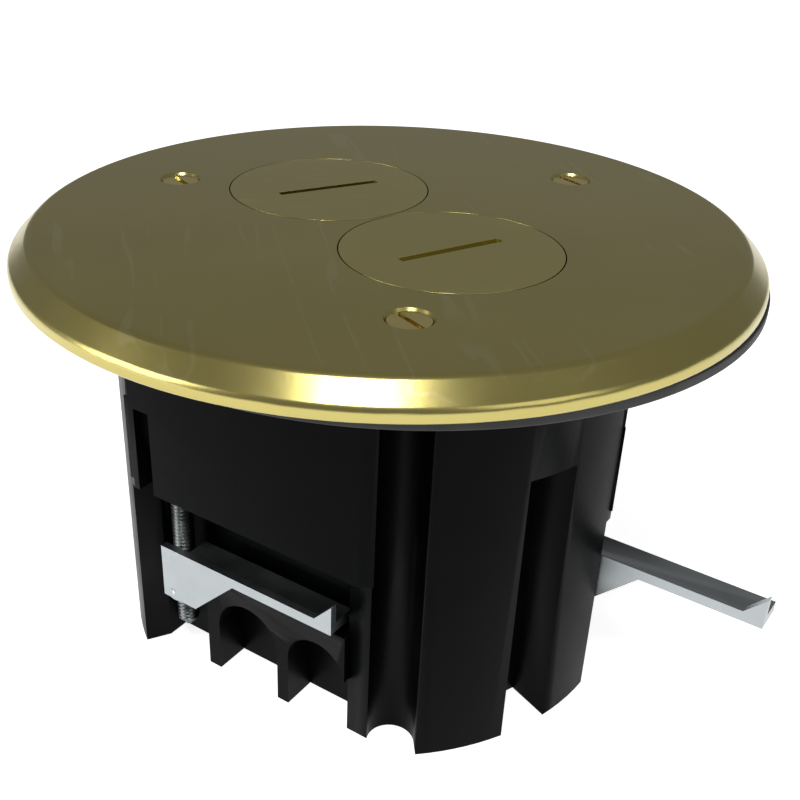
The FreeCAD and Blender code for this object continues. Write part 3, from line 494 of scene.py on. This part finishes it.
# ---------------------------------------------------------------------------------------------
# Cover. Turned from brass with a broad bevel and satin finished, with two threaded collars below
# for the plugs and three countersunk slotted screws into brass inserts in the box.
# ---------------------------------------------------------------------------------------------
brass = finish_of("cover_brass", (0.44, 0.375, 0.125), (0.48, 0.415, 0.145), (0.22, 0.27),
                  metallic=1.0, scale=28.0, grain=1300.0, depth=0.000006, strength=0.2)
add_scratches(brass, (0.56, 0.50, 0.26), 0.4, 0.35, density=110.0, fineness=0.012)
bright_brass = finish_of("screw_brass", (0.66, 0.54, 0.19), (0.72, 0.60, 0.23), (0.20, 0.28),
                         metallic=1.0)
plug_brass = finish_of("plug_brass", (0.50, 0.430, 0.140), (0.54, 0.470, 0.160), (0.22, 0.28),
                       metallic=1.0, scale=40.0, grain=1300.0, depth=0.000006, strength=0.2)
add_scratches(plug_brass, (0.60, 0.54, 0.28), 1.9, 0.3, density=110.0, fineness=0.012)
dress("cover_plate", brass, edge=0.0007, segments=4, smooth=20, inner=0.055, share=0.1)
dress("cover_screws", bright_brass, edge=0.00012)
dress("cover_inserts", contact_brass, edge=0.0001)
for side in SIDES:
    dress("plug_" + side, plug_brass, edge=0.00007)


# ---------------------------------------------------------------------------------------------
# Stage. A pale floor, three soft lamps and the camera. The room is white to the camera and dim
# to the part, and the floor's glow shows to the camera and in reflections.
# ---------------------------------------------------------------------------------------------
FLOOR_HALF = 3.0
FLOOR_DROP = 0.0002
FLOOR_WHITE = (0.86, 0.86, 0.86, 1)
FLOOR_GLOW = 0.8
ROOM_LIGHT = 0.24


def glowing_paint():
    """Matt white paint that also glows to camera, glossy and transmission rays."""
    paint = bpy.data.materials.new("stage_white")
    paint.use_nodes = True
    tree = paint.node_tree
    matt = tree.nodes["Principled BSDF"]
    matt.inputs["Base Color"].default_value = FLOOR_WHITE
    matt.inputs["Roughness"].default_value = 0.9
    glow = tree.nodes.new("ShaderNodeEmission")
    glow.inputs["Strength"].default_value = FLOOR_GLOW
    path = tree.nodes.new("ShaderNodeLightPath")
    seen = tree.nodes.new("ShaderNodeMath")
    seen.operation = "MAXIMUM"
    either = tree.nodes.new("ShaderNodeMath")
    either.operation = "MAXIMUM"
    link(tree, path.outputs["Is Camera Ray"], seen.inputs[0])
    link(tree, path.outputs["Is Glossy Ray"], seen.inputs[1])
    link(tree, seen.outputs[0], either.inputs[0])
    link(tree, path.outputs["Is Transmission Ray"], either.inputs[1])
    total = tree.nodes.new("ShaderNodeAddShader")
    chosen = tree.nodes.new("ShaderNodeMixShader")
    link(tree, matt.outputs[0], total.inputs[0])
    link(tree, glow.outputs[0], total.inputs[1])
    link(tree, either.outputs[0], chosen.inputs[0])
    link(tree, matt.outputs[0], chosen.inputs[1])
    link(tree, total.outputs[0], chosen.inputs[2])
    link(tree, chosen.outputs[0], tree.nodes["Material Output"].inputs["Surface"])
    return paint


def white_room():
    """A world that is white to the camera and lights the part at ROOM_LIGHT."""
    world = bpy.data.worlds.new("studio")
    world.use_nodes = True
    tree = world.node_tree
    room = tree.nodes["Background"]
    room.inputs["Color"].default_value = (1, 1, 1, 1)
    room.inputs["Strength"].default_value = ROOM_LIGHT
    backdrop = tree.nodes.new("ShaderNodeBackground")
    backdrop.inputs["Color"].default_value = (1, 1, 1, 1)
    path = tree.nodes.new("ShaderNodeLightPath")
    chosen = tree.nodes.new("ShaderNodeMixShader")
    link(tree, path.outputs["Is Camera Ray"], chosen.inputs[0])
    link(tree, room.outputs[0], chosen.inputs[1])
    link(tree, backdrop.outputs[0], chosen.inputs[2])
    link(tree, chosen.outputs[0], tree.nodes["World Output"].inputs["Surface"])
    return world


low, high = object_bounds()
level = low[2] - FLOOR_DROP
corners = [(x * FLOOR_HALF, y * FLOOR_HALF, level) for x, y in ((-1, -1), (1, -1), (1, 1), (-1, 1))]
floor_mesh = bpy.data.meshes.new("stage_floor")
floor_mesh.from_pydata(corners, [], [(0, 1, 2, 3)])
floor = bpy.data.objects.new("stage_floor", floor_mesh)
bpy.context.scene.collection.objects.link(floor)
floor_mesh.materials.append(glowing_paint())
bpy.context.scene.world = white_room()


def soft_lamp(name, place, target, width, power):
    """A square soft lamp at place, facing target, of that width in metres and power in watts."""
    light = bpy.data.lights.new(name, "AREA")
    light.size = width
    light.energy = power
    lamp = bpy.data.objects.new(name, light)
    aim = (Vector(target) - Vector(place)).to_track_quat("-Z", "Y").to_matrix().to_4x4()
    lamp.matrix_world = Matrix.Translation(place) @ aim
    bpy.context.scene.collection.objects.link(lamp)


soft_lamp("key_lamp", (0.34, -0.33, 0.86), (0, 0, 0), width=0.26, power=4.2)
soft_lamp("left_lamp", (-0.22, -0.78, 0.26), (0, 0, -0.04), width=0.5, power=3.6)
soft_lamp("fill_lamp", (0.8, 0.15, 0.45), (0, 0, -0.03), width=0.5, power=1.0)

VIEW_PLACE = Vector((0.15574, -0.10969, 0.0731))
VIEW_RIGHT = Vector((0.53611, 0.84402, 0.01471))
VIEW_UP = Vector((-0.42736, 0.25635, 0.86698))
VIEW_BACK = Vector((0.72797, -0.47108, 0.49813))
camera_data = bpy.data.cameras.new("camera")
camera_data.sensor_width = 36
camera_data.lens = 50.2
camera_data.shift_x = 0.075
camera_data.shift_y = 0.0375
camera_data.clip_start = 0.01
camera = bpy.data.objects.new("camera", camera_data)
bpy.context.scene.collection.objects.link(camera)
turn = Matrix((VIEW_RIGHT, VIEW_UP, VIEW_BACK)).transposed().to_4x4()
camera.matrix_world = Matrix.Translation(VIEW_PLACE) @ turn
bpy.context.scene.camera = camera
bpy.context.scene.view_settings.view_transform = "Standard"
